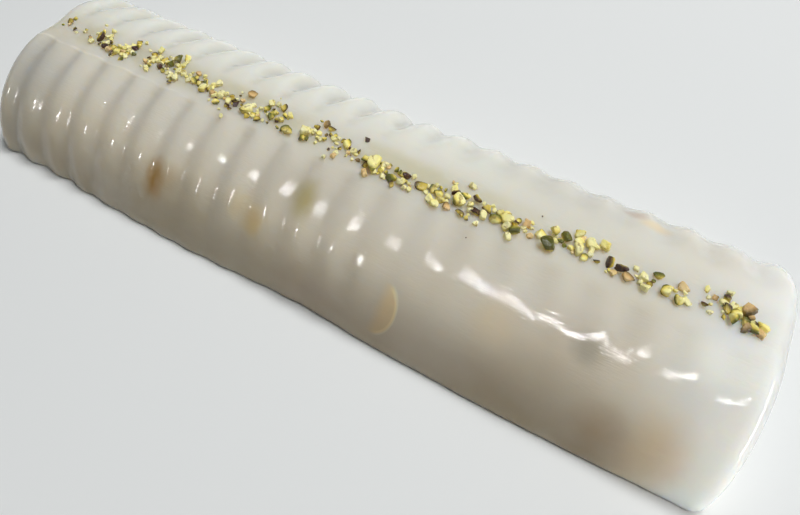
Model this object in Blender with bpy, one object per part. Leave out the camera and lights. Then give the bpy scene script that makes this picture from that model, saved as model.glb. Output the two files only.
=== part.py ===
"""A milk jelly turned out of a ribbed half-round loaf mould, with a line of chopped pistachio along its top.

Metres, +Z up. The origin is under the middle of the log, on the plane it rests on. +X runs along the log,
and its ribs get softer towards the +X end, most of all on the side at -Y.
"""

import math
import random

import bmesh
import bpy
from mathutils import Euler, Vector

# The log: a half ellipse 94 mm wide, as the mould leaves it, 300 mm long between its rims
RIM_LENGTH = 0.300
HALF_WIDTH = 0.047
ARCH_HEIGHT = 0.039

# The ribs round the log: a soft wave all along, and towards the -X end a narrow flute between each two as well.
# The near side is the one at -Y, and the far side the one at +Y
GROOVES = 20
PITCH = 0.01455
FIRST_GROOVE_X = -0.5 * (GROOVES - 1) * PITCH - 0.0005
FLUTE_DEPTH_NEAR = 0.00085
FLUTE_DEPTH_FAR = 0.0029
FLUTE_HALF_WIDTH_TIP = 0.16 * PITCH
FLUTE_HALF_WIDTH_FOOT = 0.24 * PITCH
FLUTE_FADE_NEAR_X = (-0.060, 0.045)
FLUTE_FADE_FAR_X = (-0.040, 0.055)
FLUTE_TIP_Y = 0.0114
FLUTE_DEEPENS_FAR_Y = (0.013, 0.024)
WAVE_DEPTH_LEFT = 0.00075
WAVE_DEPTH_NEAR = 0.00060
WAVE_DEPTH_FAR = 0.00125
WAVE_CHANGE_X = (-0.080, 0.060)
WAVE_RISE_NEAR_Y = (0.009, 0.015)
WAVE_RISE_FAR_Y = (0.012, 0.025)
WAVE_OUT_NEAR_Y = (0.017, 0.030)  # towards the +X end the near wave dies away down the side
WAVE_OUT_NEAR_X = (0.010, 0.060)

# The smooth channel along the top, where the ribs stop. It gets shallower towards the +X end
CHANNEL_DEPTH_LEFT = 0.0026
CHANNEL_DEPTH_RIGHT = 0.0017
CHANNEL_CHANGE_X = (-0.150, -0.020)
CHANNEL_HALF_WIDTH = 0.0094

# The rounded ends
END_RADIUS = 0.006
END_DOME_LEFT = 0.0012
END_DOME_RIGHT = 0.0003
END_LEAN = 0.0015  # the top of the +X end leans out this far
END_LEAN_LENGTH = 0.014

# Where the faces of the solid fall
STATIONS_IN_A_PITCH = (0.0, 0.11, 0.27, 0.5, 0.73, 0.89)
ARC_Y_SHARES = (1.0, 0.985, 0.93, 0.83, 0.70, 0.54, 0.39, 0.30, 0.22, 0.15, 0.08)
END_STEPS = 4
FACE_RINGS = 2

# The chopped pistachio
NUT_BITS = 96
NUT_ROW_START_X = -0.139
NUT_ROW_END_X = 0.142
NUT_ROW_MEAN_Y = -0.0005
NUT_ROW_SWAY = 0.0024  # the line of nuts drifts this far behind and before its mean
NUT_ROW_SWAY_LENGTH = 0.180
NUT_ROW_SPREAD = 0.0021
NUT_ROW_EDGE = 0.0062
NUT_SIZE_LEFT = 0.0016
NUT_SIZE_RIGHT = 0.0022
NUT_GAPS = ((-0.1265, 0.0020), (-0.1055, 0.0016), (0.0435, 0.0018), (0.0905, 0.0022), (0.1105, 0.0018))
NUT_SEED = 21


def smoothstep(edge0, edge1, value):
    t = min(max((value - edge0) / (edge1 - edge0), 0.0), 1.0)
    return t * t * (3.0 - 2.0 * t)


def between(low, high, share):
    return low + (high - low) * share


def groove_cut(x, y):
    """How deep the skin is cut between ribs at this place: nothing on a crest and in the channel."""
    nearest = min(max(round((x - FIRST_GROOVE_X) / PITCH), 0), GROOVES - 1)
    away = min(abs(x - FIRST_GROOVE_X - nearest * PITCH), 0.5 * PITCH)
    side = abs(y)
    rightward = smoothstep(*WAVE_CHANGE_X, x)
    if y < 0.0:
        flute_depth = FLUTE_DEPTH_NEAR * (1.0 - smoothstep(*FLUTE_FADE_NEAR_X, x))
        died_away = smoothstep(*WAVE_OUT_NEAR_Y, side) * smoothstep(*WAVE_OUT_NEAR_X, x)
        wave_depth = between(WAVE_DEPTH_LEFT, WAVE_DEPTH_NEAR * (1.0 - died_away), rightward)
        wave_depth *= smoothstep(*WAVE_RISE_NEAR_Y, side)
    else:
        flute_depth = between(FLUTE_DEPTH_NEAR, FLUTE_DEPTH_FAR, smoothstep(*FLUTE_DEEPENS_FAR_Y, side))
        flute_depth *= 1.0 - smoothstep(*FLUTE_FADE_FAR_X, x)
        wave_depth = between(WAVE_DEPTH_LEFT, WAVE_DEPTH_FAR, rightward) * smoothstep(*WAVE_RISE_FAR_Y, side)
    half_width = between(FLUTE_HALF_WIDTH_TIP, FLUTE_HALF_WIDTH_FOOT, side / HALF_WIDTH)
    past_tip = max(FLUTE_TIP_Y - side, 0.0)
    flute = flute_depth * math.exp(-((math.hypot(away, past_tip) / half_width) ** 2))
    return flute + wave_depth * math.cos(math.pi * away / PITCH) ** 2


def channel_drop(x, y):
    """How far the smooth channel lies below the arch at this place."""
    depth = between(CHANNEL_DEPTH_LEFT, CHANNEL_DEPTH_RIGHT, smoothstep(*CHANNEL_CHANGE_X, x))
    return depth * math.exp(-((y / CHANNEL_HALF_WIDTH) ** 2))


def section_point(x, across, inset):
    """A point of the log's skin: across runs from -1 at the near foot to 1 at the far foot."""
    up = math.sqrt(max(1.0 - across * across, 0.0))
    cut = inset + groove_cut(x, across * HALF_WIDTH)
    y = (HALF_WIDTH - cut) * across
    z = (ARCH_HEIGHT - cut) * up
    return y, z - channel_drop(x, y)


def across_shares():
    """Where the points of a section lie, close together at the channel and at the feet."""
    near = [-share for share in ARC_Y_SHARES]
    return near + [0.0] + [-share for share in reversed(near)]


def stations():
    """(x, inset) of each section along the log, with the rounded ends."""
    ends = []
    for step in range(END_STEPS + 1):
        angle = 0.5 * math.pi * (1.0 - step / END_STEPS)
        outward = RIM_LENGTH / 2 - END_RADIUS * (1.0 - math.sin(angle))
        ends.append((outward, END_RADIUS * (1.0 - math.cos(angle))))
    flat_x = RIM_LENGTH / 2 - END_RADIUS
    body = []
    for pitch in range(-1, GROOVES + 1):
        for share in STATIONS_IN_A_PITCH:
            x = FIRST_GROOVE_X + (pitch + share) * PITCH
            if abs(x) < flat_x - 0.0005:
                body.append((x, 0.0))
    return [(-x, inset) for x, inset in ends] + body + [(x, inset) for x, inset in reversed(ends)]


def log_mesh():
    """The ribbed log as one closed skin: the arch, the flat base and the two end faces."""
    bm = bmesh.new()
    shares = across_shares()
    rings = []
    for x, inset in stations():
        rings.append([bm.verts.new((x, *section_point(x, share, inset))) for share in shares])
    for ring, following in zip(rings, rings[1:]):
        for i in range(len(shares) - 1):
            bm.faces.new((ring[i], following[i], following[i + 1], ring[i + 1]))
        bm.faces.new((ring[-1], following[-1], following[0], ring[0]))
    close_end(bm, rings[0], -END_DOME_LEFT)
    close_end(bm, rings[-1], END_DOME_RIGHT)
    for vert in bm.verts:
        lean = smoothstep(RIM_LENGTH / 2 - END_LEAN_LENGTH, RIM_LENGTH / 2, vert.co.x)
        vert.co.x += END_LEAN * lean * vert.co.z / ARCH_HEIGHT
    bmesh.ops.recalc_face_normals(bm, faces=bm.faces)
    mesh = bpy.data.meshes.new("jelly_log")
    bm.to_mesh(mesh)
    bm.free()
    return mesh


def close_end(bm, ring, dome):
    """The domed end face, as rings that shrink towards the middle of its foot, and the strip of base under it."""
    outer = ring
    near_feet = [ring[0]]
    far_feet = [ring[-1]]
    for step in range(1, FACE_RINGS + 1):
        shrink = 1.0 - step / (FACE_RINGS + 1)
        outward = dome * (1.0 - shrink * shrink)
        inner = [bm.verts.new((v.co.x + outward, v.co.y * shrink, v.co.z * shrink)) for v in ring]
        for i in range(len(ring) - 1):
            bm.faces.new((outer[i], outer[i + 1], inner[i + 1], inner[i]))
        near_feet.append(inner[0])
        far_feet.append(inner[-1])
        outer = inner
    middle = bm.verts.new((ring[0].co.x + dome, 0.0, 0.0))
    for i in range(len(ring) - 1):
        bm.faces.new((outer[i], outer[i + 1], middle))
    bm.faces.new(near_feet + [middle] + far_feet[::-1])


def skin_height(x, y):
    """The height of the log's skin above the base, near the top of the arch."""
    return section_point(x, y / HALF_WIDTH, 0.0)[1]


def row_middle(x):
    """The middle of the line of nuts at x: it drifts from behind the log's middle to before it and back."""
    return NUT_ROW_MEAN_Y + NUT_ROW_SWAY * math.cos(math.pi * (x - NUT_ROW_START_X) / NUT_ROW_SWAY_LENGTH)


def nut_places(rng):
    """(x, y, size) of each bit of nut, the largest first."""
    places = []
    for i in range(NUT_BITS):
        share = (i + rng.uniform(0.1, 0.9)) / NUT_BITS
        x = NUT_ROW_START_X + share * (NUT_ROW_END_X - NUT_ROW_START_X)
        offset = min(max(rng.gauss(0.0, NUT_ROW_SPREAD), -NUT_ROW_EDGE), NUT_ROW_EDGE)
        size = NUT_SIZE_LEFT + share * (NUT_SIZE_RIGHT - NUT_SIZE_LEFT)
        size *= rng.uniform(0.8, 1.35)
        if any(abs(x - gap_x) < half for gap_x, half in NUT_GAPS):
            continue
        places.append((x, row_middle(x) + offset, size))
    return sorted(places, key=lambda place: -place[2])


def nut_bit(name, x, y, size, rng, collection, material):
    """One broken bit: a coarse ball with its corners pushed in and out, flattened and turned."""
    bm = bmesh.new()
    bmesh.ops.create_icosphere(bm, subdivisions=1, radius=1.0)
    stretch = Vector((rng.uniform(1.0, 1.35), rng.uniform(0.75, 1.0), rng.uniform(0.6, 0.8)))
    for vert in bm.verts:
        vert.co = vert.co * rng.uniform(0.82, 1.12) * stretch * size
    turn = Euler((rng.uniform(-0.5, 0.5), rng.uniform(-0.5, 0.5), rng.uniform(0.0, math.pi)))
    bmesh.ops.rotate(bm, verts=bm.verts, matrix=turn.to_matrix())
    mesh = bpy.data.meshes.new(name)
    bm.to_mesh(mesh)
    bm.free()
    mesh.materials.append(material)
    bit = bpy.data.objects.new(name, mesh)
    bit.location = (x, y, skin_height(x, y) + 0.3 * size)
    collection.objects.link(bit)


def material(name, colour, roughness):
    made = bpy.data.materials.new(name)
    made.use_nodes = True
    shader = made.node_tree.nodes["Principled BSDF"]
    shader.inputs["Base Color"].default_value = (*colour, 1.0)
    shader.inputs["Roughness"].default_value = roughness
    shader.inputs["Metallic"].default_value = 0.0
    return made


def fuse(log, collection):
    """One union of the log and all its bits of nut, applied, with the loose bits then removed."""
    union = log.modifiers.new("nuts", "BOOLEAN")
    union.operation = "UNION"
    union.operand_type = "COLLECTION"
    union.collection = collection
    union.solver = "EXACT"
    graph = bpy.context.evaluated_depsgraph_get()
    fused = bpy.data.meshes.new_from_object(log.evaluated_get(graph))
    log.modifiers.clear()
    log.data = fused
    for bit in list(collection.objects):
        bpy.data.objects.remove(bit)
    bpy.data.collections.remove(collection)


def main():
    for old in list(bpy.data.objects):
        bpy.data.objects.remove(old)
    jelly = material("milk_jelly", (0.62, 0.60, 0.54), 0.16)
    pistachio = material("pistachio", (0.42, 0.40, 0.12), 0.55)
    log = bpy.data.objects.new("jelly_log", log_mesh())
    log.data.materials.append(jelly)
    bpy.context.scene.collection.objects.link(log)

    nuts = bpy.data.collections.new("nut_bits")
    bpy.context.scene.collection.children.link(nuts)
    rng = random.Random(NUT_SEED)
    for number, (x, y, size) in enumerate(nut_places(rng)):
        nut_bit(f"nut_bit_{number:03d}", x, y, size, rng, nuts, pistachio)
    fuse(log, nuts)
    log.data.shade_smooth()
    log.data.set_sharp_from_angle(angle=math.radians(38.0))


main()
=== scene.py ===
import math
import random

import bmesh
import bpy
import numpy as np
from mathutils import Euler, Matrix, Vector


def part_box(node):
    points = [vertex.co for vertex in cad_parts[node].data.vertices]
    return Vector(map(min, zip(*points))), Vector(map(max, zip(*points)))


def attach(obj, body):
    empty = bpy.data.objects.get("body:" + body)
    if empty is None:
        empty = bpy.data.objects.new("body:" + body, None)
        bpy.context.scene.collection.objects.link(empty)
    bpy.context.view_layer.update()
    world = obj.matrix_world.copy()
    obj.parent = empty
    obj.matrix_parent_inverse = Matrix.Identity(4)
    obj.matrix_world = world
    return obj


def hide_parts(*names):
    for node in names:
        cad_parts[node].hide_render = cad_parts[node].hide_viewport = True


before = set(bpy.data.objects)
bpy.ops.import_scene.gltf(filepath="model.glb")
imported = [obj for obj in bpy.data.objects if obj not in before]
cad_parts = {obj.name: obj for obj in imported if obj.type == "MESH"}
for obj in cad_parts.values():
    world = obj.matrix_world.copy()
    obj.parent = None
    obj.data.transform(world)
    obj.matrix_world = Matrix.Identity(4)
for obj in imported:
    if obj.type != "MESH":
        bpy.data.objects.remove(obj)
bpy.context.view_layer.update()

# Camera
# The log is seen from above its near side and a little towards its right end, from a quarter of a metre away,
# through the wide lens of a telephone.
mm = 0.001
scene = bpy.context.scene


def add_object(name, data):
    """Puts a mesh, a light or a camera into the scene."""
    made = bpy.data.objects.new(name, data)
    scene.collection.objects.link(made)
    return made


camera_target = Vector((14.6 * mm, -9.8 * mm, 20.0 * mm))
camera_distance = 244.5 * mm
camera_azimuth = math.radians(30.27)
camera_elevation = math.radians(52.55)
camera_back = Vector((
    math.sin(camera_azimuth) * math.cos(camera_elevation),
    -math.cos(camera_azimuth) * math.cos(camera_elevation),
    math.sin(camera_elevation),
))
camera = add_object("camera", bpy.data.cameras.new("camera"))
camera.data.sensor_width = 36.0
camera.data.lens = 30.23
camera.data.shift_x = 0.0343
camera.data.shift_y = -0.0578
camera.data.clip_start = 0.01
camera.location = camera_target + camera_back * camera_distance
camera.rotation_euler = (-camera_back).to_track_quat("-Z", "Y").to_euler()
scene.camera = camera

# Table and light
# A pale matt table top in a dim room. Broad soft lights stand over it as large windows do, and others stand
# low round it. Two small glows shine into the jelly's right end. Two strips and a lamp draw the wet glints.
scene.view_settings.view_transform = "Standard"


def linear(red, green, blue):
    """A colour read as a screen shows it, from 0 to 255, as the linear colour that a shader takes."""
    shares = [value / 255.0 for value in (red, green, blue)]
    return tuple(s / 12.92 if s <= 0.04045 else ((s + 0.055) / 1.055) ** 2.4 for s in shares)


def set_inputs(node, values):
    """Sets inputs of a node that nothing is linked to, by name."""
    for name, value in values.items():
        node.inputs[name].default_value = value


def new_material(name):
    """A material with its Principled shader, and its node tree's nodes and links."""
    made = bpy.data.materials.new(name)
    made.use_nodes = True
    tree = made.node_tree
    return made, tree.nodes["Principled BSDF"], tree.nodes, tree.links


def area_light(name, place, aim, size_x, size_y, power, colour, roll=0.0):
    """A rectangular light at place, turned to face aim and rolled by these degrees."""
    light = add_object(name, bpy.data.lights.new(name, "AREA"))
    light.data.shape = "RECTANGLE"
    light.data.size = size_x
    light.data.size_y = size_y
    light.data.energy = power
    light.data.color = colour
    light.location = place
    light.visible_camera = False
    facing = (Vector(aim) - Vector(place)).to_track_quat("-Z", "Y").to_matrix()
    light.rotation_euler = (facing @ Matrix.Rotation(math.radians(roll), 3, "Z")).to_euler()
    return light


def shine_only_on(light, things):
    """Keeps a light to these things, as a flag or a snoot does in a studio."""
    lit = bpy.data.collections.new(f"{light.name}_lit")
    for thing in things:
        lit.objects.link(thing)
    light.light_linking.receiver_collection = lit


table_half = 3.0
table_drop = 0.2 * mm
table_colour = (241, 241, 239)
table_corners = [(x * table_half, y * table_half, 0.0) for x, y in ((-1, -1), (1, -1), (1, 1), (-1, 1))]
table_mesh = bpy.data.meshes.new("table_top")
table_mesh.from_pydata(table_corners, [], [(0, 1, 2, 3)])
table = add_object("table_top", table_mesh)
table.location.z = -table_drop
table_paint, table_shader, _, _ = new_material("pale_table")
set_inputs(table_shader, {
    "Base Color": (*linear(*table_colour), 1),
    "Roughness": 0.9,
    "Specular IOR Level": 0.0,
})
table_mesh.materials.append(table_paint)

world = bpy.data.worlds.new("room")
scene.world = world
world.use_nodes = True
set_inputs(world.node_tree.nodes["Background"], {"Color": (0.86, 0.93, 1.0, 1), "Strength": 0.08})

daylight = (0.97, 0.99, 1.0)
lamp_white = (1.0, 1.0, 1.0)
# name, degrees above the table, degrees round from +X towards +Y, and power of each broad soft light
soft_lights = (
    ("window_behind", 66.0, 60.0, 26.6),
    ("window_right", 66.0, 0.0, 14.2),
    ("low_behind_right", 8.0, 22.0, 3.2),
    ("low_left", 8.0, 180.0, 4.4),
    ("low_behind_left", 8.0, 135.0, 1.4),
    ("low_right", 8.0, 4.0, 4.6),
)
soft_light_distance = 2.2
soft_light_size = 0.66
soft_light_aim = Vector((0.0, 0.0, 20.0 * mm))
low_light_rise = 20.0
# The lights that would draw pools on the table, so at the end they are kept to the dessert
kept_off_table = []
for name, rise, turn, power in soft_lights:
    way = Vector((
        math.cos(math.radians(turn)) * math.cos(math.radians(rise)),
        math.sin(math.radians(turn)) * math.cos(math.radians(rise)),
        math.sin(math.radians(rise)),
    ))
    place = soft_light_aim + way * soft_light_distance
    soft = area_light(name, place, soft_light_aim, soft_light_size, soft_light_size, power, daylight)
    soft.visible_glossy = False
    if rise < low_light_rise:
        kept_off_table.append(soft)
# name, place, aim, size and power of each small light that shines into the jelly's right end
end_glows = (
    ("end_glow", (0.24, -0.055, 0.012), (0.15, -0.02, 0.012), 0.06, 0.023),
    ("corner_glow", (0.185, -0.085, 0.012), (0.143, -0.046, 0.012), 0.03, 0.0102),
)
for name, place, aim, size, power in end_glows:
    glow = area_light(name, place, aim, size, size, power, daylight)
    glow.visible_glossy = False
    kept_off_table.append(glow)
# name, place, aim, size along and up, power and roll of each light that is only seen as a glint
glint_lights = (
    ("strip", (0.075, -0.50, 1.13), (0.05, -0.02, 0.03), 0.56, 0.009, 4.4, 13.0),
    ("lamp", (-0.62, -0.90, 0.62), (-0.09, -0.03, 0.03), 0.045, 0.13, 1.8, 0.0),
    ("end_strip", (1.08, -0.14, 0.23), (0.15, -0.03, 0.02), 0.80, 0.11, 6.2, 30.0),
)
for name, place, aim, size_x, size_y, power, roll in glint_lights:
    glint = area_light(name, place, aim, size_x, size_y, power, lamp_white, roll)
    glint.visible_diffuse = False

# Fruit in the jelly
# Pieces of soft dried and tinned fruit, cut by hand and dropped into the mould, that came to rest a few
# millimetres under the skin. They are soft and wet, and each shows as a blurred stain.
log_low, log_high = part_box("jelly_log")
end_dome_left = 1.2 * mm
end_dome_right = 0.3 * mm
half_length = -log_low.x - end_dome_left
half_width = 47.0 * mm
arch_height = 39.0 * mm


def skin_place(x, tilt, depth=0.0):
    """The point at x where the arch's normal tilts this many degrees to the near side, and that normal."""
    sine = math.sin(math.radians(tilt))
    cosine = math.cos(math.radians(tilt))
    reach = math.hypot(half_width * sine, arch_height * cosine)
    normal = Vector((0.0, -sine, cosine))
    on_skin = Vector((x, -half_width**2 * sine / reach, arch_height**2 * cosine / reach))
    return on_skin - normal * depth, normal


def unit_ball(rings, sides):
    """Points and faces of a ball, as rows of a grid between two poles."""
    points = [(0.0, 0.0, 1.0)]
    for ring in range(1, rings):
        down = math.pi * ring / rings
        for side in range(sides):
            turn = 2.0 * math.pi * side / sides
            points.append((math.sin(down) * math.cos(turn), math.sin(down) * math.sin(turn), math.cos(down)))
    points.append((0.0, 0.0, -1.0))
    last = len(points) - 1
    faces = []
    for side in range(sides):
        after = (side + 1) % sides
        faces.append((0, 1 + side, 1 + after))
        for ring in range(rings - 2):
            top = 1 + ring * sides
            faces.append((top + side, top + sides + side, top + sides + after, top + after))
        base = 1 + (rings - 2) * sides
        faces.append((base + after, base + side, last))
    return np.array(points), faces


def soft_waves(points, length, seed, count=7):
    """A smooth uneven field from about -1 to 1 over rows of points, with bumps about this far apart."""
    rng = np.random.default_rng(seed)
    total = np.zeros(len(points))
    for _ in range(count):
        way = rng.normal(size=points.shape[1])
        way *= 2.0 * math.pi / (length * rng.uniform(0.7, 1.5)) / np.linalg.norm(way)
        total += np.sin(points @ way + rng.uniform(0.0, 2.0 * math.pi))
    return total / math.sqrt(count)


# name, x, tilt, depth of its top, half sizes along, round and into the log, turn, colour of the fruit,
# and the colour and strength of the stain that shows through the skin
fruit_pieces = (
    ("apricot_chunk", -63.4, 52.0, 2.6, (3.8, 8.8, 2.6), 3, (170, 96, 26), (196, 156, 94), 0.95),
    ("apricot_shred", -58.2, 48.0, 3.6, (3.2, 5.0, 2.2), 0, (216, 160, 112), (206, 184, 150), 0.6),
    ("peach_shred", -26.0, 43.5, 3.0, (4.4, 4.6, 2.6), 8, (226, 200, 150), (232, 214, 176), 0.7),
    ("peach_cube", -19.0, 48.0, 2.6, (3.0, 5.4, 2.8), -6, (214, 158, 92), (230, 205, 152), 0.8),
    ("green_plum", -4.0, 28.0, 3.0, (3.5, 7.4, 3.2), 8, (112, 112, 42), (204, 190, 140), 0.9),
    ("peach_slice", 35.4, 60.6, 4.0, (6.4, 10.6, 1.2), -5, (236, 190, 120), (214, 192, 150), 0.0),
    ("pear_chunk", 72.0, 40.0, 5.0, (6.0, 8.0, 4.5), 10, (236, 208, 160), (234, 217, 186), 0.55),
    ("black_plum", 100.2, 33.0, 4.6, (3.4, 2.6, 3.0), -8, (74, 66, 58), (188, 182, 164), 0.7),
    ("mango_strip", 104.6, -26.5, 2.2, (5.0, 2.4, 1.8), 18, (248, 196, 110), (252, 234, 196), 0.8),
    ("mango_strip_tip", 98.0, -31.0, 2.6, (3.0, 1.8, 1.5), 10, (244, 180, 120), (214, 190, 164), 0.7),
    ("peach_wedge", 112.0, 62.0, 5.0, (6.0, 6.0, 4.5), 20, (222, 170, 130), (204, 186, 158), 0.6),
    ("pear_wedge", 130.0, 60.0, 6.0, (9.0, 9.0, 4.5), 0, (240, 210, 160), (226, 208, 172), 0.25),
)
fruit_squareness = 0.72
fruit_fill = 0.86
# height, length and first seed of the lumps on a piece, as shares of its half sizes
fruit_lumps = ((0.10, 1.5, 40), (0.03, 0.5, 70))


def fruit_frame(x, tilt, depth, turn):
    """Where a piece lies: a matrix whose axes run along the log, round it and out of it."""
    place, normal = skin_place(x, tilt, depth)
    along = Vector((1.0, 0.0, 0.0))
    around = normal.cross(along)
    axes = Matrix((along, around, normal)).transposed().to_4x4()
    return Matrix.Translation(place) @ axes @ Matrix.Rotation(math.radians(turn), 4, "Z")


def noise_texture(nodes, scale, detail):
    """Soft noise with features of about 1 / scale."""
    node = nodes.new("ShaderNodeTexNoise")
    set_inputs(node, {"Scale": scale, "Detail": detail})
    return node


def colour_ramp(nodes, stops):
    """A ramp through these stops, each a position and a linear colour."""
    ramp = nodes.new("ShaderNodeValToRGB")
    while len(ramp.color_ramp.elements) < len(stops):
        ramp.color_ramp.elements.new(0.5)
    for element, (position, colour) in zip(ramp.color_ramp.elements, stops):
        element.position = position
        element.color = (*colour, 1)
    return ramp


def raise_surface(nodes, links, shader, height, distance, strength=1.0):
    """Bumps a shader's surface by a height from 0 to 1, by up to this distance."""
    bump = nodes.new("ShaderNodeBump")
    set_inputs(bump, {"Strength": strength, "Distance": distance})
    links.new(height, bump.inputs["Height"])
    links.new(bump.outputs["Normal"], shader.inputs["Normal"])


def fruit_flesh(name, colour):
    """Soft wet fruit flesh: a little light inside, and faint fibres and darker patches."""
    made, shader, nodes, links = new_material(name)
    fibres = noise_texture(nodes, 420.0, 5.0)
    fibres.inputs["Distortion"].default_value = 0.8
    flesh = linear(*colour)
    dark_flesh = [c * 0.66 for c in flesh]
    ramp = colour_ramp(nodes, ((0.32, dark_flesh), (0.72, flesh)))
    links.new(fibres.outputs["Fac"], ramp.inputs["Fac"])
    links.new(ramp.outputs["Color"], shader.inputs["Base Color"])
    raise_surface(nodes, links, shader, fibres.outputs["Fac"], 0.15 * mm, 0.6)
    set_inputs(shader, {
        "Roughness": 0.34,
        "Subsurface Weight": 0.35,
        "Subsurface Radius": (1.0, 0.6, 0.3),
        "Subsurface Scale": 1.5 * mm,
    })
    return made


ball_points, ball_faces = unit_ball(22, 32)
for number, (name, x, tilt, depth, halves, turn, colour, _, _) in enumerate(fruit_pieces):
    halves = np.array(halves) * mm
    corners = np.sign(ball_points) * np.abs(ball_points) ** fruit_squareness
    lumps = 1.0
    for height, length, first_seed in fruit_lumps:
        lumps = lumps + height * soft_waves(ball_points, length, first_seed + number)[:, None]
    shaped = corners * lumps * fruit_fill * halves
    mesh = bpy.data.meshes.new(name)
    mesh.from_pydata(shaped.tolist(), [], ball_faces)
    mesh.transform(fruit_frame(x * mm, tilt, depth * mm + halves[2], turn))
    mesh.shade_smooth()
    mesh.materials.append(fruit_flesh(name, colour))
    piece = add_object(name, mesh)
    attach(piece, "root")

# Jelly log
# Milk, sugar and gelatine, poured into a wet ribbed mould, chilled and turned out. The mould leaves ribs and
# rounded ends, its keel leaves the smooth channel on top, and the set skin stays glossy and lets light in.
grooves = 20
rib_pitch = 14.55 * mm
rib_shift = 0.5 * mm
first_groove_x = -0.5 * (grooves - 1) * rib_pitch - rib_shift
# Flutes: the round-ended grooves that are crisp at the left and fade to the right. A pair of values is where
# a change begins and ends, in x or in distance from the middle
flute_depth_near = 0.85 * mm
flute_depth_far = 2.9 * mm
flute_deepens_far = (13.0 * mm, 24.0 * mm)
flute_half_width_tip = 0.16 * rib_pitch
flute_half_width_foot = 0.24 * rib_pitch
flute_broader_far = 1.25
flute_tip_y = 11.4 * mm
flute_foot_y = 0.85 * half_width
flute_foot_loss = 0.35
flute_fade_near = (-60.0 * mm, 45.0 * mm)
flute_fade_far = (-40.0 * mm, 55.0 * mm)
# Waves: the soft swell from rib to rib that lasts to the right end
wave_depth_left = 0.75 * mm
wave_depth_near = 0.65 * mm
wave_depth_far = 1.25 * mm
wave_change_x = (-80.0 * mm, 60.0 * mm)
wave_out_x = (10.0 * mm, 60.0 * mm)
wave_out_y = (17.0 * mm, 30.0 * mm)
wave_tip_near = (9.0 * mm, 15.0 * mm)
wave_tip_far = (12.0 * mm, 25.0 * mm)
# The near foot, right of the log's left end, is smoother
smooth_foot_x = -95.0 * mm
smooth_foot_y = (0.80 * half_width, half_width)
smooth_foot_loss = 0.7
# Each groove's own small shift along the log, and its own share of the depth
groove_rng = random.Random(5)
groove_shift = [groove_rng.uniform(-0.35, 0.35) * mm for _ in range(grooves)]
groove_share = [groove_rng.uniform(0.88, 1.10) for _ in range(grooves)]


def smooth_rise(low, high, value):
    """0 below low, 1 above high, and a smooth rise between."""
    t = np.clip((value - low) / (high - low), 0.0, 1.0)
    return t * t * (3.0 - 2.0 * t)


def between(low, high, share):
    """The value at this share of the way from low to high."""
    return low + (high - low) * share


def groove_cut(x, y):
    """How deep the skin is cut between ribs, by the flutes and the waves."""
    nearest = np.clip(np.rint((x - first_groove_x) / rib_pitch), 0, grooves - 1).astype(int)
    away = np.abs(x - first_groove_x - nearest * rib_pitch - np.array(groove_shift)[nearest])
    side = np.abs(y)
    near = y < 0.0
    down = smooth_rise(flute_tip_y, flute_foot_y, side)
    flute_width = between(flute_half_width_tip, flute_half_width_foot, down)
    flute_width = flute_width * np.where(near, 1.0, flute_broader_far)
    flute = np.exp(-((np.hypot(away, np.maximum(flute_tip_y - side, 0.0)) / flute_width) ** 2))
    flute_near = flute_depth_near * (1.0 - flute_foot_loss * down) * (1.0 - smooth_rise(*flute_fade_near, x))
    flute_far = between(flute_depth_near, flute_depth_far, smooth_rise(*flute_deepens_far, side))
    flute_far = flute_far * (1.0 - smooth_rise(*flute_fade_far, x))
    rightward = smooth_rise(*wave_change_x, x)
    wave = np.cos(math.pi * np.minimum(away / rib_pitch, 0.5)) ** 2
    wave_out = 1.0 - smooth_rise(*wave_out_y, side) * smooth_rise(*wave_out_x, x)
    wave_near = between(wave_depth_left, wave_depth_near * wave_out, rightward)
    wave_near = wave_near * smooth_rise(*wave_tip_near, side)
    wave_far = between(wave_depth_left, wave_depth_far, rightward)
    wave_far = wave_far * smooth_rise(*wave_tip_far, side)
    cut = np.where(near, flute_near * flute + wave_near * wave, flute_far * flute + wave_far * wave)
    smooth_foot = smooth_rise(*smooth_foot_y, side) * smooth_rise(-1.0, 1.0, (x - smooth_foot_x) / rib_pitch)
    return np.array(groove_share)[nearest] * cut * np.where(near, 1.0 - smooth_foot_loss * smooth_foot, 1.0)


# The channel that the mould's keel leaves, and the thin seam on its near shoulder
channel_depth_left = 2.6 * mm
channel_depth_right = 1.7 * mm
channel_half_width = 9.4 * mm
channel_change_x = (-150.0 * mm, -20.0 * mm)
shoulder_y = 9.6 * mm
shoulder_bead = 0.22 * mm
shoulder_half = 0.5 * mm
shoulder_waver = 0.45 * mm
shoulder_waver_length = 15.0 * mm
# height, length and seed of the slow swells that keep the skin from being perfectly even, and the margin that
# keeps them inside the mould's arch
skin_swells = ((0.16 * mm, 34.0 * mm, 3), (0.05 * mm, 11.0 * mm, 4))
skin_margin = 0.2 * mm
groove_sway = 0.5 * mm
groove_sway_length = 60.0 * mm
# The near foot spreads where the jelly settled: how far, how high up, and each spread's middle and reach in x
foot_radius = 0.8 * mm
foot_spread = 1.7 * mm
foot_spread_height = 7.0 * mm
foot_spread_middles = ((-58.0 * mm, 46.0 * mm), (74.0 * mm, 52.0 * mm))


def shoulder_seam(x, y):
    """The thin wavering seam on the channel's near shoulder: 1 on it, 0 beside it, and less to the right."""
    waver = shoulder_waver * soft_waves(x[:, None], shoulder_waver_length, 9)
    fade = 1.0 - smooth_rise(*channel_change_x, x)
    return fade * np.exp(-(((y + shoulder_y + waver) / shoulder_half) ** 2))


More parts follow.
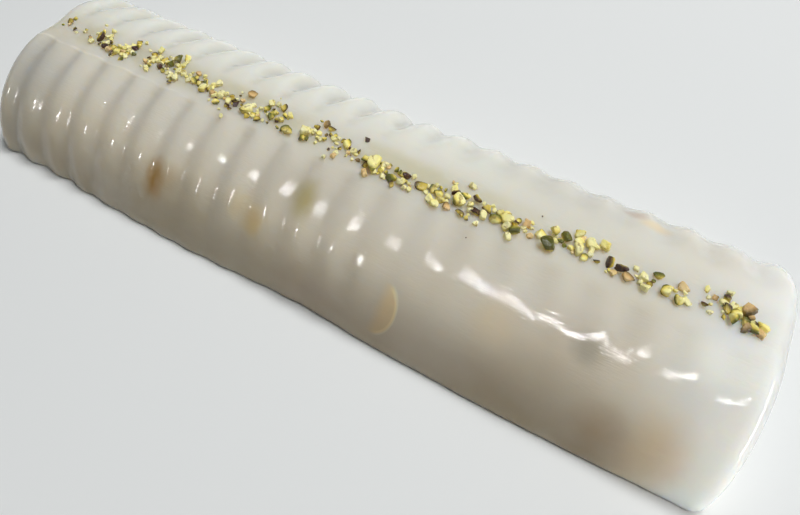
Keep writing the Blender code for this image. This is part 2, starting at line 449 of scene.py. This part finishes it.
def skin(x, angle, inset):
    """Points of the skin at x, at this angle round the arch from the near foot to the far one."""
    across = -np.cos(angle)
    up = np.sin(angle)
    rows = np.stack([x, across * half_width, up * arch_height], axis=1)
    swell = sum(height * soft_waves(rows, length, seed) for height, length, seed in skin_swells)
    sway = groove_sway * soft_waves(rows[:, 1:], groove_sway_length, 6)
    cut = inset + groove_cut(x + sway, across * half_width) - swell + skin_margin
    y = (half_width - cut) * across
    z = (arch_height - cut) * up
    channel_depth = between(channel_depth_left, channel_depth_right, smooth_rise(*channel_change_x, x))
    z = z - channel_depth * np.exp(-((y / channel_half_width) ** 2))
    z = z + shoulder_bead * shoulder_seam(x, y)
    spread = sum(np.exp(-(((x - middle) / reach) ** 4)) for middle, reach in foot_spread_middles)
    y = y + np.where(y < 0.0, -foot_spread, 0.0) * spread * np.exp(-((z / foot_spread_height) ** 2))
    tuck = foot_radius - np.sqrt(np.maximum(foot_radius**2 - np.maximum(foot_radius - z, 0.0) ** 2, 0.0))
    return np.stack([x, y - np.sign(y) * tuck, z], axis=1)


def skin_height(x, y):
    """The height of the skin at one place near the top of the log."""
    angle = math.acos(-y / half_width)
    return float(skin(np.array([x]), np.array([angle]), np.array([0.0]))[0, 2])


# The ends: how they turn over, and how far the right end's top leans out
end_radius = 6.0 * mm
end_lean = 1.5 * mm
end_lean_length = 14.0 * mm
sharp_edge = math.radians(60.0)
# How finely the skin is divided: along the log, round each end's turn, over the top, down the sides, across
# the base and over the end faces
along_step = 0.75 * mm
end_steps = 9
top_half = 16.0 * mm
top_step = 0.45 * mm
side_step = 0.85 * mm
base_steps = 20
face_rings = 16


def log_stations():
    """(x, inset) of each ring of points, close together where the ends turn over."""
    straight = half_length - end_radius
    ends = []
    for step in range(end_steps):
        angle = 0.5 * math.pi * (1.0 - step / end_steps)
        turned_in = end_radius * (1.0 - math.cos(angle))
        ends.append((half_length - end_radius * (1.0 - math.sin(angle)), turned_in))
    count = int(2.0 * straight / along_step)
    middle = [(-straight + 2.0 * straight * i / count, 0.0) for i in range(count + 1)]
    return [(-x, inset) for x, inset in ends] + middle + [(x, inset) for x, inset in reversed(ends)]


def end_face(ring, dome):
    """Rings that shrink towards the middle of the foot, with a slight dome."""
    made = []
    for step in range(1, face_rings + 1):
        shrink = 1.0 - step / (face_rings + 1)
        inner = ring * (1.0, shrink, shrink)
        inner[:, 0] += dome * (1.0 - shrink * shrink)
        made.append(inner)
    return made


def keep_numbers(mesh, name, values):
    """Keeps one number at each point of a mesh, for its material to read."""
    kept = mesh.attributes.new(name, "FLOAT", "POINT")
    kept.data.foreach_set("value", values.astype(np.float32))


def read_numbers(nodes, name, output="Fac"):
    """The numbers that a mesh keeps at its points, as they reach a material."""
    node = nodes.new("ShaderNodeAttribute")
    node.attribute_name = name
    return node.outputs[output]


def log_mesh():
    """The fine skin of the log with its flat base and domed ends, as rings joined one to the next."""
    edge = math.acos(top_half / half_width)
    top_count = int(2.0 * top_half / top_step)
    side_count = int(edge * 0.5 * (half_width + arch_height) / side_step)
    side = np.linspace(0.0, edge, side_count, endpoint=False)
    top = np.linspace(edge, math.pi - edge, top_count, endpoint=False)
    angles = np.concatenate([side, top, math.pi - side[::-1]])
    rings = []
    for x, inset in log_stations():
        arch = skin(np.full(len(angles), x), angles, np.full(len(angles), inset))
        shares = np.linspace(0.0, 1.0, base_steps + 1)[1:-1, None]
        base = arch[-1] + (arch[0] - arch[-1]) * shares
        rings.append(np.concatenate([arch, base]))
    sides = len(rings[0])
    rings = end_face(rings[0], -end_dome_left)[::-1] + rings + end_face(rings[-1], end_dome_right)
    points = np.concatenate(rings)
    faces = []
    for ring in range(len(rings) - 1):
        start = ring * sides
        for side in range(sides):
            after = (side + 1) % sides
            faces.append((start + side, start + sides + side, start + sides + after, start + after))
    for ring in (0, len(rings) - 1):
        middle = len(points)
        points = np.concatenate([points, [(rings[ring][0, 0], 0.0, 0.0)]])
        for side in range(sides):
            faces.append((ring * sides + side, ring * sides + (side + 1) % sides, middle))
    groove_depth = groove_cut(points[:, 0], points[:, 1])
    on_top = points[:, 2] > 0.5 * arch_height
    # Where the shoulder seam lies, for its painted highlight
    seam = shoulder_seam(points[:, 0], points[:, 1]) * on_top
    lean = smooth_rise(half_length - end_lean_length, half_length, points[:, 0])
    points[:, 0] += end_lean * lean * points[:, 2] / arch_height
    mesh = bpy.data.meshes.new("milk_jelly")
    mesh.from_pydata(points.tolist(), [], faces)
    keep_numbers(mesh, "groove_depth", groove_depth)
    keep_numbers(mesh, "seam", seam)
    mesh.validate()
    bm = bmesh.new()
    bm.from_mesh(mesh)
    bmesh.ops.recalc_face_normals(bm, faces=bm.faces)
    bm.to_mesh(mesh)
    bm.free()
    mesh.shade_smooth()
    mesh.set_sharp_from_angle(angle=sharp_edge)
    return mesh


# The milk's colour from the near foot to the far side, y and colour: creamier and darker towards the near
# foot,
# partly the milk's own tone and partly painted shade
milk_and_shade_stops = (
    (-47.0, (186, 172, 146)), (-44.5, (194, 181, 156)), (-40.0, (214, 202, 179)), (-33.0, (228, 217, 195)),
    (-23.0, (229, 221, 205)), (-9.0, (225, 218, 202)), (18.0, (236, 234, 223)),
)
# The paler clouds in it, and a painted glow: milk painted whiter towards the right end between these two x
cloud_colour = (238, 236, 228)
painted_glow_colour = (240, 240, 236)
painted_glow_share = 0.9
painted_glow_x = (110.0 * mm, 143.0 * mm)
# Painted shade in the grooves: how much darker the milk is for each millimetre of groove,
# down to this many millimetres
painted_groove_shade = 0.045
groove_deepest = 5.0
# How much wider than its piece a stain is, in millimetres, and how much more for each millimetre of depth
stain_blur = 1.8
stain_blur_by_depth = 0.6
stain_reach_out = 9.0 * mm
stain_waver = 3.2 * mm
slice_reach = (6.8 * mm, 11.0 * mm, 30.0 * mm)
slice_core_tint = (1.20, 1.06, 0.80)
slice_edge_tint = (1.14, 1.18, 1.16)
# How much darker and yellower the channel round the nuts is
channel_tint = (0.90, 0.88, 0.76)
# The painted highlight on the shoulder seam, where its ridge catches the light
seam_highlight_tint = (1.18, 1.18, 1.18)
# Painted light and shade, as patches that make the milk darker, warmer or paler: x, y, half sizes,
# and how they change its red, green and blue
painted_light_and_shade_patches = (
    (-146.0, -26.0, 38.0, 26.0, (0.78, 0.81, 0.86)),
    (-50.0, -40.0, 46.0, 11.0, (0.90, 0.89, 0.86)),
    (-8.0, -22.0, 26.0, 14.0, (0.92, 0.92, 0.92)),
    (96.0, -30.0, 28.0, 14.0, (0.90, 0.88, 0.87)),
    (84.0, 26.0, 60.0, 26.0, (0.86, 0.84, 0.82)),
    (128.0, 22.0, 26.0, 24.0, (0.95, 0.91, 0.86)),
    (134.0, -17.0, 22.0, 10.0, (1.10, 1.10, 1.08)),
    (92.0, -48.0, 44.0, 17.0, (0.87, 0.83, 0.77)),
    (40.0, -50.0, 70.0, 16.0, (0.94, 0.90, 0.86)),
    (8.0, -48.0, 22.0, 12.0, (0.92, 0.88, 0.86)),
    (112.0, -49.0, 16.0, 13.0, (0.82, 0.76, 0.69)),
    (127.0, -47.0, 14.0, 20.0, (1.02, 0.91, 0.75)),
    (142.0, -48.0, 14.0, 26.0, (1.18, 1.11, 1.08)),
    (153.5, 0.0, 7.0, 60.0, (0.60, 0.62, 0.65)),
)


def jelly_material():
    """White jelly: light wanders in it, fruit stains it, painted light and shade lie in its colour, and its
    wet skin is finely crinkled.
    """
    made, shader, nodes, links = new_material("milk_jelly")
    where = nodes.new("ShaderNodeTexCoord").outputs["Object"]

    def fill(node, sockets, values):
        """Gives each of a node's inputs its value, which is a number, a tuple or another node's output."""
        for socket, value in zip(sockets, values):
            if isinstance(value, (float, tuple)):
                socket.default_value = value
            else:
                links.new(value, socket)
        return node

    def mix(low, high, share, blend="MIX"):
        """Mixes two colours by a share that varies over the skin."""
        node = nodes.new("ShaderNodeMix")
        node.data_type = "RGBA"
        node.blend_type = blend
        fill(node, (node.inputs["A"], node.inputs["B"], node.inputs["Factor"]), (low, (*high, 1), share))
        return node.outputs["Result"]

    def tinted(colour, tint, share):
        """A colour times three numbers, as far as the share says."""
        return mix(colour, tint, share, "MULTIPLY")

    def vector_maths(operation, *values):
        node = nodes.new("ShaderNodeVectorMath")
        node.operation = operation
        return fill(node, node.inputs, values).outputs["Vector"]

    def length_of(vector):
        node = nodes.new("ShaderNodeVectorMath")
        node.operation = "LENGTH"
        return fill(node, node.inputs, (vector,)).outputs["Value"]

    def maths(operation, *values):
        node = nodes.new("ShaderNodeMath")
        node.operation = operation
        return fill(node, node.inputs, values).outputs["Value"]

    def product(first, *others):
        """The product of shares that each vary over the skin."""
        total = first
        for other in others:
            total = maths("MULTIPLY", total, other)
        return total

    def noise(scale, detail, stretch=1.0):
        """Soft noise with features of 1 / scale metres, this many times as long along the log."""
        node = noise_texture(nodes, scale, detail)
        links.new(vector_maths("MULTIPLY", where, (1.0 / stretch, 1.0, 1.0)), node.inputs["Vector"])
        return node.outputs["Fac"]

    def ranged(value, low, high, to_low, to_high, smooth=True):
        """Takes a value's range from low to high to another range, and holds it at the ends."""
        node = nodes.new("ShaderNodeMapRange")
        node.interpolation_type = "SMOOTHSTEP" if smooth else "LINEAR"
        links.new(value, node.inputs["Value"])
        set_inputs(node, {"From Min": low, "From Max": high, "To Min": to_low, "To Max": to_high})
        return node.outputs["Result"]

    def seen_in(matrix, reach, vector):
        """Places on the skin in the frame of a matrix, as shares of the reach along its three axes."""
        node = nodes.new("ShaderNodeMapping")
        node.vector_type = "TEXTURE"
        set_inputs(node, {"Location": matrix.to_translation(), "Rotation": matrix.to_euler(), "Scale": reach})
        links.new(vector, node.inputs["Vector"])
        return node.outputs["Vector"]

    def axes_of(vector):
        """The X, Y and Z of a vector, as the outputs of one node."""
        node = nodes.new("ShaderNodeSeparateXYZ")
        links.new(vector, node.inputs["Vector"])
        return node.outputs

    # Creamy at the near foot with painted shade there, cloudy all over, and with a painted glow towards the
    # right end
    skin_axes = axes_of(where)
    stops = [((y * mm + half_width) / (2.0 * half_width), linear(*colour)) for y, colour in milk_and_shade_stops]
    across = colour_ramp(nodes, stops)
    links.new(ranged(skin_axes["Y"], -half_width, half_width, 0.0, 1.0, smooth=False), across.inputs["Fac"])
    cloudy = ranged(noise(24.0, 3.0), 0.35, 0.75, 0.0, 0.25)
    milk = mix(across.outputs["Color"], linear(*cloud_colour), cloudy)
    # Painted glow: the milk is painted whiter towards the right end, as if lit through it
    milk = mix(milk, linear(*painted_glow_colour), ranged(skin_axes["X"], *painted_glow_x, 0.0, painted_glow_share))

    # The stains of the fruit, with edges that waver
    waver = noise_texture(nodes, 160.0, 2.0)
    links.new(where, waver.inputs["Vector"])
    pushed = vector_maths("MULTIPLY_ADD", waver.outputs["Color"], (stain_waver,) * 3, where)
    wavering = vector_maths("SUBTRACT", pushed, (0.5 * stain_waver,) * 3)
    for name, x, tilt, depth, halves, turn, _, stain, strength in fruit_pieces:
        over_fruit = fruit_frame(x * mm, tilt, 0.0, turn)
        blur = stain_blur + stain_blur_by_depth * depth
        reach = ((halves[0] + blur) * mm, (halves[1] + blur) * mm, stain_reach_out)
        in_stain = length_of(seen_in(over_fruit, reach, wavering))
        milk = mix(milk, linear(*stain), ranged(in_stain, 0.15, 1.0, strength, 0.0))
        if name == "peach_slice":
            over_slice = over_fruit

    # The slice stands close under the skin: its right edge is crisp and pale, and its left side sinks away
    in_slice = seen_in(over_slice, slice_reach, where)
    slice_x = axes_of(in_slice)["X"]
    slice_away = length_of(in_slice)
    core = product(ranged(slice_away, 0.86, 1.0, 0.8, 0.0), ranged(slice_x, -0.35, 0.35, 0.0, 1.0))
    milk = tinted(milk, slice_core_tint, core)
    edge = product(
        ranged(slice_away, 0.97, 1.02, 1.0, 0.0),
        ranged(slice_away, 0.78, 0.86, 0.0, 1.0),
        ranged(slice_x, 0.0, 0.5, 0.0, 1.0),
    )
    milk = tinted(milk, slice_edge_tint, edge)

    # The channel round the nuts is darker and yellower, and the thin seam on its near shoulder has a painted
    # highlight
    channel_darkening = product(
        ranged(maths("ABSOLUTE", skin_axes["Y"]), 3.0 * mm, 9.0 * mm, 1.0, 0.0),
        ranged(noise(70.0, 3.0), 0.40, 0.62, 0.15, 1.0),
        ranged(skin_axes["X"], 30.0 * mm, 90.0 * mm, 1.0, 0.2),
        ranged(skin_axes["Z"], 28.0 * mm, 34.0 * mm, 0.0, 1.0),
    )
    milk = tinted(milk, channel_tint, channel_darkening)
    seam = product(read_numbers(nodes, "seam"), ranged(noise(110.0, 2.0), 0.35, 0.6, 0.2, 1.0))
    milk = tinted(milk, seam_highlight_tint, seam)

    # Patches of painted light and shade, and painted shade in the grooves
    for x, y, half_x, half_y, tint in painted_light_and_shade_patches:
        patch = Matrix.Translation((x * mm, y * mm, 0.0))
        in_painted_patch = length_of(seen_in(patch, (half_x * mm, half_y * mm, 1.0), wavering))
        milk = tinted(milk, tint, ranged(in_painted_patch, 0.1, 1.0, 1.0, 0.0))
    # Painted shade: the milk is darker the deeper the groove
    darkest_painted_shade = 1.0 - groove_deepest * painted_groove_shade
    depth = read_numbers(nodes, "groove_depth")
    painted_groove_lightness = ranged(depth, 0.0, groove_deepest * mm, 1.0, darkest_painted_shade, smooth=False)
    shade = nodes.new("ShaderNodeVectorMath")
    shade.operation = "SCALE"
    links.new(milk, shade.inputs[0])
    links.new(painted_groove_lightness, shade.inputs["Scale"])
    links.new(shade.outputs["Vector"], shader.inputs["Base Color"])

    # The wet skin: fine strokes along the log in patches, over a broader crinkle
    patchy = ranged(noise(60.0, 2.0), 0.38, 0.66, 0.35, 1.0)
    strokes = product(noise(1900.0, 2.0, stretch=6.0), patchy)
    crinkle = maths("MULTIPLY", noise(560.0, 2.0, stretch=2.0), 0.8)
    raise_surface(nodes, links, shader, maths("ADD", strokes, crinkle), 0.060 * mm)
    links.new(ranged(noise(90.0, 3.0), 0.3, 0.7, 0.06, 0.10), shader.inputs["Roughness"])
    set_inputs(shader, {
        "IOR": 1.38,
        "Subsurface Weight": 1.0,
        "Subsurface Radius": (1.0, 0.84, 0.62),
        "Subsurface Scale": 11.0 * mm,
    })
    return made


jelly = add_object("milk_jelly", log_mesh())
jelly.data.materials.append(jelly_material())
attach(jelly, "root")
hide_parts("jelly_log")

# Chopped pistachio
# Shelled pistachios chopped with a knife and scattered along the channel by hand. Each bit is cut from a
# kernel, so it is pale yellow inside and greener outwards, and some still have the dry purple skin.
kernel_half = np.array((8.0, 4.7, 4.3)) * mm
nut_rng = random.Random(11)

# The scatter: x and y of each clump's middle, how far it spreads along and across, and its number of bits
nut_clumps = (
    (-138.5, 2.0, 1.8, 1.8, 4), (-131.0, -1.0, 2.4, 1.4, 4), (-121.5, 1.4, 2.2, 2.2, 10),
    (-116.0, -1.4, 2.0, 1.8, 9), (-109.0, -2.0, 1.8, 2.0, 9), (-104.5, -0.4, 1.5, 2.6, 13),
    (-92.0, 0.4, 2.2, 2.4, 18), (-85.5, 0.8, 1.8, 2.0, 10), (-80.0, 0.0, 2.0, 2.8, 18),
    (-70.0, 0.0, 3.0, 1.9, 14), (-63.0, -1.0, 2.0, 1.8, 6), (-57.0, -3.8, 2.2, 1.9, 8),
    (-49.0, -2.0, 2.2, 2.6, 13), (-41.5, -4.0, 2.2, 1.8, 10), (-34.0, -1.5, 2.4, 2.6, 14),
    (-27.0, -1.5, 2.0, 2.4, 8), (-15.0, -0.6, 2.2, 2.6, 10), (-8.5, -2.0, 1.6, 2.6, 8),
    (-2.5, -3.0, 2.2, 2.2, 10), (6.0, -3.4, 2.2, 2.0, 9), (14.0, -4.4, 2.2, 1.8, 10),
    (21.0, -4.6, 2.2, 1.8, 12), (27.5, -5.0, 1.6, 1.6, 5), (36.0, -4.0, 2.2, 1.8, 8),
    (43.5, -2.4, 2.0, 2.4, 8), (51.0, -4.2, 2.0, 2.2, 10), (62.0, -3.0, 2.6, 1.8, 9),
    (71.0, -2.0, 2.0, 1.6, 5), (80.0, -1.2, 2.0, 1.8, 5), (87.5, -1.0, 2.2, 2.2, 9),
    (97.5, -3.4, 1.8, 1.6, 4), (108.5, -2.6, 2.0, 1.8, 5), (118.0, -2.2, 2.0, 1.8, 3),
    (128.0, 0.0, 2.0, 1.8, 6), (133.5, -0.6, 2.2, 2.0, 9), (139.0, -2.4, 1.6, 1.4, 4),
)
# Bits that stand out by their size, their colour or by lying apart: x, y, length and kind
nut_marked = (
    (-120.5, 0.0, 4.4, "skin"), (-119.0, 6.0, 2.2, "heart"), (-111.5, -2.0, 3.7, "green"),
    (-104.0, 2.0, 2.7, "skin"), (-102.5, 7.0, 1.8, "heart"), (-88.0, -1.5, 2.9, "skin"),
    (-85.0, 2.0, 4.0, "green"), (-78.5, -7.0, 2.0, "skin"), (-71.5, 3.0, 2.7, "tan"),
    (-65.0, -3.0, 3.9, "heart"), (-61.0, 2.5, 3.2, "heart"), (-56.0, -6.5, 2.9, "green"),
    (-46.0, 3.5, 3.4, "tan"), (-43.0, -4.0, 5.0, "heart"), (-31.0, 3.5, 4.2, "skin"),
    (-23.5, -5.5, 4.0, "green"), (-17.5, -3.0, 4.6, "heart"), (-13.0, 4.5, 3.5, "tan"),
    (-10.5, 4.0, 2.9, "skin"), (-1.5, 0.0, 3.7, "green"), (3.5, 5.5, 2.5, "skin"),
    (8.5, -5.5, 3.4, "skin"), (11.5, -4.0, 5.6, "heart"), (20.0, -6.0, 4.0, "green"),
    (30.0, -4.0, 4.4, "skin"), (37.0, -3.5, 3.9, "green"), (41.5, -7.5, 3.4, "tan"),
    (44.0, -3.5, 5.4, "heart"), (45.5, 5.0, 2.9, "heart"), (51.0, -4.5, 4.2, "skin"),
    (53.5, -2.0, 3.7, "skin"), (57.5, -4.0, 5.0, "green"), (61.0, -3.0, 4.4, "heart"),
    (65.0, -5.5, 4.2, "green"), (67.5, -0.5, 3.5, "tan"), (73.0, -2.5, 3.7, "heart"),
    (76.0, -5.5, 5.2, "green"), (80.5, 0.5, 3.9, "green"), (85.5, -2.0, 4.2, "heart"),
    (88.0, 2.5, 4.2, "heart"), (92.5, 3.5, 4.2, "heart"), (95.0, -1.5, 4.5, "skin"),
    (102.0, -4.5, 4.0, "tan"), (106.5, -1.5, 3.7, "heart"), (107.5, -5.5, 3.7, "heart"),
    (113.5, -2.5, 4.7, "green"), (110.5, 1.5, 3.2, "green"), (118.0, 1.0, 3.7, "tan"),
    (117.5, -4.5, 4.0, "green"), (130.5, 5.5, 2.5, "heart"), (131.0, 0.0, 3.4, "skin"),
    (133.5, -3.0, 4.9, "green"), (136.5, 1.5, 4.5, "tan"), (137.0, -4.5, 3.2, "tan"),
    (139.0, -3.5, 3.7, "green"), (142.0, -1.0, 3.7, "heart"),
)
# Crumbs that fell beside the channel: x, y, length and kind
nut_crumbs = ((52.5, -14.8, 0.5, "skin"), (70.8, 5.1, 0.6, "skin"), (-36.0, 8.0, 0.7, "heart"))
# kind, share of the bits, and how far from the kernel's middle they are cut at least and at most, as shares
# of the way to its skin
nut_kinds = (
    ("heart", 0.60, 0.05, 0.60),
    ("green", 0.18, 0.72, 0.90),
    ("skin", 0.12, 0.90, 0.97),
    ("tan", 0.10, 0.30, 0.90),
)
# How sharp a bit's edges are at the log's left and right end, and its usual length there in millimetres
edge_sharpness = (18.0, 12.0)
bit_length = (1.75, 2.2)
length_spread = 0.34
length_least = 0.45
length_most = 1.7
tries_for_room = 6
tone_range = (0.95, 1.18)
# Shares of a bit's length: how far it reaches from its middle, how much two overlap when one rests on the
# other, and how deep it settles into the jelly or between the bits under it
bit_reach = 0.36
resting_lap = 0.14
sunk_in_jelly = 0.08
sunk_in_bits = 0.22
# A bit's cuts: how far they are from its middle along it, across it and up, how far the extra ones at its
# corners are, and how much they tilt. Large bits are slimmer
long_cuts = (0.40, 0.54)
wide_cuts = (0.28, 0.42)
flat_cuts = (0.19, 0.30)
corner_cuts = (0.30, 0.44)
corner_cut_count = 6
cut_tilt = 0.30
slimmer_sizes = (5.0 * mm, 8.0 * mm)
slimmer_share = 0.45
# height and length of the broken faces' roughness, as shares of the bit's size
broken_lumps = ((0.055, 0.9), (0.028, 0.34))
# How far from level a bit lies, in radians
lie_tilt = 0.22
chip_ways, chip_faces = unit_ball(19, 24)


def random_way(rng):
    """A direction with no preferred side."""
    return Vector((rng.gauss(0, 1), rng.gauss(0, 1), rng.gauss(0, 1))).normalized()


def random_turn(rng):
    """An angle all the way round."""
    return rng.uniform(0.0, 2.0 * math.pi)


def chop_bit(rng, size, inner, outer, sharpness):
    """A lying bit about this long, and its points' places in the kernel, as shares of the way to its skin."""
    slim = 1.0 - slimmer_share * smooth_rise(*slimmer_sizes, size)
    cuts = []
    for axis, (low, high), share in ((0, long_cuts, 1.0), (1, wide_cuts, slim), (2, flat_cuts, 1.0)):
        for side in (-1.0, 1.0):
            way = random_way(rng) * cut_tilt
            way[axis] += side
            cuts.append((way.normalized(), rng.uniform(low * share, high * share)))
    cuts += [(random_way(rng), rng.uniform(*corner_cuts)) for _ in range(corner_cut_count)]
    ways = np.array([way for way, _ in cuts])
    reaches = np.array([reach for _, reach in cuts])
    pressed = np.maximum(chip_ways @ ways.T, 0.0) / reaches
    radius = np.sum(pressed**sharpness, axis=1) ** (-1.0 / sharpness)
    seed = rng.randrange(10**6)
    lumps = 1.0
    for number, (height, length) in enumerate(broken_lumps):
        lumps = lumps + height * soft_waves(chip_ways, length, seed + number)
    shape = chip_ways * (radius * lumps)[:, None] * size
    spin = np.array(Euler([random_turn(rng) for _ in range(3)]).to_matrix())
    middle = np.array(random_way(rng)) * rng.uniform(inner, outer)
    place = middle + (shape @ spin.T) / kernel_half
    length = np.linalg.norm(place, axis=1)
    over = length > 1.0
    place[over] /= length[over, None]
    shape[over] = ((place[over] - middle) * kernel_half) @ spin
    lying = Euler((rng.gauss(0.0, lie_tilt), rng.gauss(0.0, lie_tilt), random_turn(rng))).to_matrix()
    return shape @ np.array(lying).T, place


# The colour of stray scraps of skin, where the whole skin begins as a share of the way out of the kernel, and
# how far the grain speckles the colours
scrap_colour = (132, 104, 46)
skin_starts = 0.95
speckle = 0.12


def nut_material(name, stops):
    """Broken nut: its colour goes by how deep in the kernel it lay, and its cut faces are granular."""
    made, shader, nodes, links = new_material(name)
    place = read_numbers(nodes, "kernel_place", "Vector")
    grain = noise_texture(nodes, 5.0, 5.0)
    links.new(place, grain.inputs["Vector"])
    out = nodes.new("ShaderNodeVectorMath")
    out.operation = "LENGTH"
    links.new(place, out.inputs[0])
    depth = nodes.new("ShaderNodeMath")
    depth.operation = "SUBTRACT"
    depth.inputs[0].default_value = skin_starts
    links.new(out.outputs["Value"], depth.inputs[1])
    speckled = nodes.new("ShaderNodeMath")
    speckled.operation = "MULTIPLY_ADD"
    speckled.inputs[1].default_value = speckle
    links.new(grain.outputs["Fac"], speckled.inputs[0])
    links.new(depth.outputs["Value"], speckled.inputs[2])
    ramp = colour_ramp(nodes, [(position, linear(*colour)) for position, colour in stops])
    links.new(speckled.outputs["Value"], ramp.inputs["Fac"])
    scraps = noise_texture(nodes, 3.4, 4.0)
    links.new(place, scraps.inputs["Vector"])
    scrap_share = nodes.new("ShaderNodeMapRange")
    set_inputs(scrap_share, {"From Min": 0.57, "From Max": 0.68, "To Min": 0.0, "To Max": 0.65})
    links.new(scraps.outputs["Fac"], scrap_share.inputs["Value"])
    scrapped = nodes.new("ShaderNodeMix")
    scrapped.data_type = "RGBA"
    scrapped.inputs["B"].default_value = (*linear(*scrap_colour), 1)
    links.new(ramp.outputs["Color"], scrapped.inputs["A"])
    links.new(scrap_share.outputs["Result"], scrapped.inputs["Factor"])
    shade = nodes.new("ShaderNodeHueSaturation")
    links.new(read_numbers(nodes, "bit_tone"), shade.inputs["Value"])
    links.new(scrapped.outputs["Result"], shade.inputs["Color"])
    links.new(shade.outputs["Color"], shader.inputs["Base Color"])
    raise_surface(nodes, links, shader, grain.outputs["Fac"], 0.30 * mm)
    set_inputs(shader, {
        "Roughness": 0.24,
        "Subsurface Weight": 0.2,
        "Subsurface Radius": (1.0, 0.9, 0.4),
        "Subsurface Scale": 0.6 * mm,
    })
    return made


# Depth under the kernel's skin, from 0 on it to 1 at its middle, and the colour there
kernel_stops = (
    (0.0, (92, 92, 38)), (0.06, (110, 112, 46)), (0.13, (154, 146, 62)), (0.23, (238, 214, 104)),
    (0.40, (255, 240, 150)), (1.0, (255, 248, 198)),
)
skin_stops = (
    (0.0, (72, 48, 46)), (0.05, (94, 68, 50)), (0.09, (116, 104, 46)), (0.22, (222, 196, 88)),
    (1.0, (255, 240, 160)),
)
tan_stops = ((0.0, (106, 88, 58)), (0.08, (156, 128, 80)), (0.25, (226, 188, 128)), (1.0, (252, 228, 168)))
nut_stops = {"heart": kernel_stops, "green": kernel_stops, "skin": skin_stops, "tan": tan_stops}

bits = {kind: {"points": [], "place": [], "tone": []} for kind, *_ in nut_kinds}
kind_cuts = {kind: (inner, outer) for kind, _, inner, outer in nut_kinds}
placed = []


def rightness(x):
    """How far along the log x is, from 0 at its left end to 1 at its right end."""
    return (x - log_low.x) / (log_high.x - log_low.x)


def crowding(x, y, size):
    """How much a bit at x, y would lie over the bits placed so far, and the highest top under it."""
    over = 0.0
    top = -1.0
    for other_x, other_y, other_size, other_top in placed:
        lap = bit_reach * (size + other_size) - math.hypot(x - other_x, y - other_y)
        if lap > 0.0:
            over += lap
            if lap > resting_lap * (size + other_size):
                top = max(top, other_top)
    return over, top


def put_bit(kind, x, y, size):
    """Chops one bit and lays it on the jelly, or on the bits under it."""
    shape, place = chop_bit(nut_rng, size, *kind_cuts[kind], between(*edge_sharpness, rightness(x)))
    _, top = crowding(x, y, size)
    rest = max(skin_height(x, y) - sunk_in_jelly * size, top - sunk_in_bits * size)
    shape = shape + (x, y, rest - shape[:, 2].min())
    placed.append((x, y, size, shape[:, 2].max()))
    bits[kind]["points"].append(shape)
    bits[kind]["place"].append(place)
    bits[kind]["tone"].append(np.full(len(place), nut_rng.uniform(*tone_range)))


for x, y, size, kind in nut_marked:
    put_bit(kind, x * mm, y * mm, size * mm)
for clump_x, clump_y, along, across, number in nut_clumps:
    for _ in range(number):
        pick = nut_rng.random()
        for kind, kind_share, _, _ in nut_kinds:
            if pick < kind_share:
                break
            pick -= kind_share
        usual = between(*bit_length, rightness(clump_x * mm))
        size = usual * min(max(nut_rng.lognormvariate(0.0, length_spread), length_least), length_most) * mm
        tries = []
        for _ in range(tries_for_room):
            x = nut_rng.gauss(clump_x, along) * mm
            y = nut_rng.gauss(clump_y, across) * mm
            tries.append((crowding(x, y, size)[0], x, y))
        _, x, y = min(tries)
        put_bit(kind, x, y, size)
for x, y, size, kind in nut_crumbs:
    put_bit(kind, x * mm, y * mm, size * mm)

nuts = []
for kind, *_ in nut_kinds:
    name = f"nut_{kind}_bits"
    points = np.concatenate(bits[kind]["points"])
    starts = len(chip_ways) * np.arange(len(bits[kind]["points"]))
    faces = [tuple(start + corner for corner in face) for start in starts.tolist() for face in chip_faces]
    mesh = bpy.data.meshes.new(name)
    mesh.from_pydata(points.tolist(), [], faces)
    places = mesh.attributes.new("kernel_place", "FLOAT_VECTOR", "POINT")
    places.data.foreach_set("vector", np.concatenate(bits[kind]["place"]).astype(np.float32).ravel())
    keep_numbers(mesh, "bit_tone", np.concatenate(bits[kind]["tone"]))
    mesh.shade_smooth()
    mesh.materials.append(nut_material(name, nut_stops[kind]))
    joined = add_object(name, mesh)
    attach(joined, "root")
    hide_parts("jelly_log")
    nuts.append(joined)
# The panes that the wet cut faces mirror: their place, size and power
nut_panes = (((-0.9, 0.3, 0.9), 0.30, 3.0), ((0.9, 0.5, 1.0), 0.30, 3.0), ((0.2, -1.0, 1.0), 0.22, 2.0))
nut_pane_aim = (0.0, 0.0, 0.04)
for number, (place, size, power) in enumerate(nut_panes):
    pane = area_light(f"nut_pane_{number}", place, nut_pane_aim, size, size, power, lamp_white)
    pane.visible_diffuse = False
    shine_only_on(pane, nuts)
for light in kept_off_table:
    shine_only_on(light, [jelly, *nuts])
